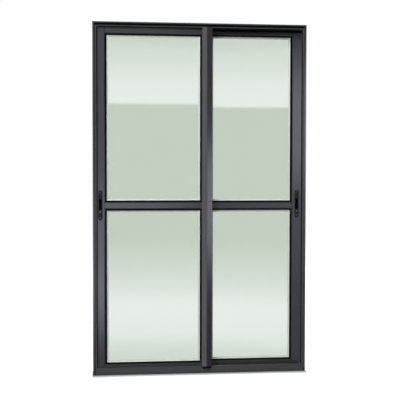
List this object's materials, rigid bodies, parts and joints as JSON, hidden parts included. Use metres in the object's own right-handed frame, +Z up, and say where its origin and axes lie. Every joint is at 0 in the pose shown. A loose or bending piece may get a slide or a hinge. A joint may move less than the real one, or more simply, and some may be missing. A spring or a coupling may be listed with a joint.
{
  "type": "sliding patio door",
  "caption": "Two-leaf sliding patio door: dark aluminium frame and tracks, glazed leaves with a mid rail, flush pulls and a crowned pull profile.",
  "frame": {"origin": "middle of the sill's flat underside, half way through the frame's depth", "axes": "+X to the right along the door as seen from the room side, +Y from the room side to the far side, +Z up"},
  "size_m": [1.285, 0.1066, 2.1],
  "materials": {
    "anthracite_paint": "satin powder coat",
    "tinted_glass": "clear pale green tempered glass",
    "pale_sealant": "smooth pale glazing sealant",
    "black_rubber": "matt extruded rubber",
    "black_pile": "brush pile",
    "black_handle": "matt black",
    "steel_grey": "dark brushed steel",
    "bare_aluminium": "mill finish",
    "dark_nylon": "moulded nylon"
  },
  "bodies": {
    "frame": {"head": "anthracite_paint", "sill": "anthracite_paint", "left_jamb": "anthracite_paint", "right_jamb": "anthracite_paint", "front_track_rail": "bare_aluminium", "rear_track_rail": "bare_aluminium", "head_brush": "black_pile", "left_jamb_brush": "black_pile", "right_jamb_brush": "black_pile", "front_head_stop": "dark_nylon", "rear_head_stop": "dark_nylon"},
    "left_leaf": {"left_leaf_lock_stile": "anthracite_paint", "left_leaf_meeting_stile": "anthracite_paint", "left_leaf_top_rail": "anthracite_paint", "left_leaf_mid_rail": "anthracite_paint", "left_leaf_bottom_rail": "anthracite_paint", "left_leaf_upper_glass": "tinted_glass", "left_leaf_upper_gasket": "black_rubber", "left_leaf_lower_glass": "tinted_glass", "left_leaf_lower_gasket": "black_rubber", "left_leaf_handle": "black_handle", "left_leaf_thumb_turn": "steel_grey", "left_leaf_interlock_fin": "dark_nylon", "left_leaf_left_roller": "dark_nylon", "left_leaf_right_roller": "dark_nylon", "left_leaf_left_guide": "dark_nylon", "left_leaf_right_guide": "dark_nylon", "left_leaf_pull_profile": "anthracite_paint", "left_leaf_pull_end_cap": "black_rubber"},
    "right_leaf": {"right_leaf_lock_stile": "anthracite_paint", "right_leaf_meeting_stile": "anthracite_paint", "right_leaf_top_rail": "anthracite_paint", "right_leaf_mid_rail": "anthracite_paint", "right_leaf_bottom_rail": "anthracite_paint", "right_leaf_upper_glass": "tinted_glass", "right_leaf_upper_gasket": "black_rubber", "right_leaf_lower_glass": "tinted_glass", "right_leaf_lower_gasket": "black_rubber", "right_leaf_handle": "black_handle", "right_leaf_thumb_turn": "steel_grey", "right_leaf_interlock_fin": "dark_nylon", "right_leaf_left_roller": "dark_nylon", "right_leaf_right_roller": "dark_nylon", "right_leaf_left_guide": "dark_nylon", "right_leaf_right_guide": "dark_nylon"}
  },
  "joints": [
    {"name": "left_leaf_slide", "type": "slide", "parent": "frame", "child": "left_leaf", "axis": [1, 0, 0], "range_m": [0, 0.51]},
    {"name": "right_leaf_slide", "type": "slide", "parent": "frame", "child": "right_leaf", "axis": [-1, 0, 0], "range_m": [0, 0.51]}
  ]
}
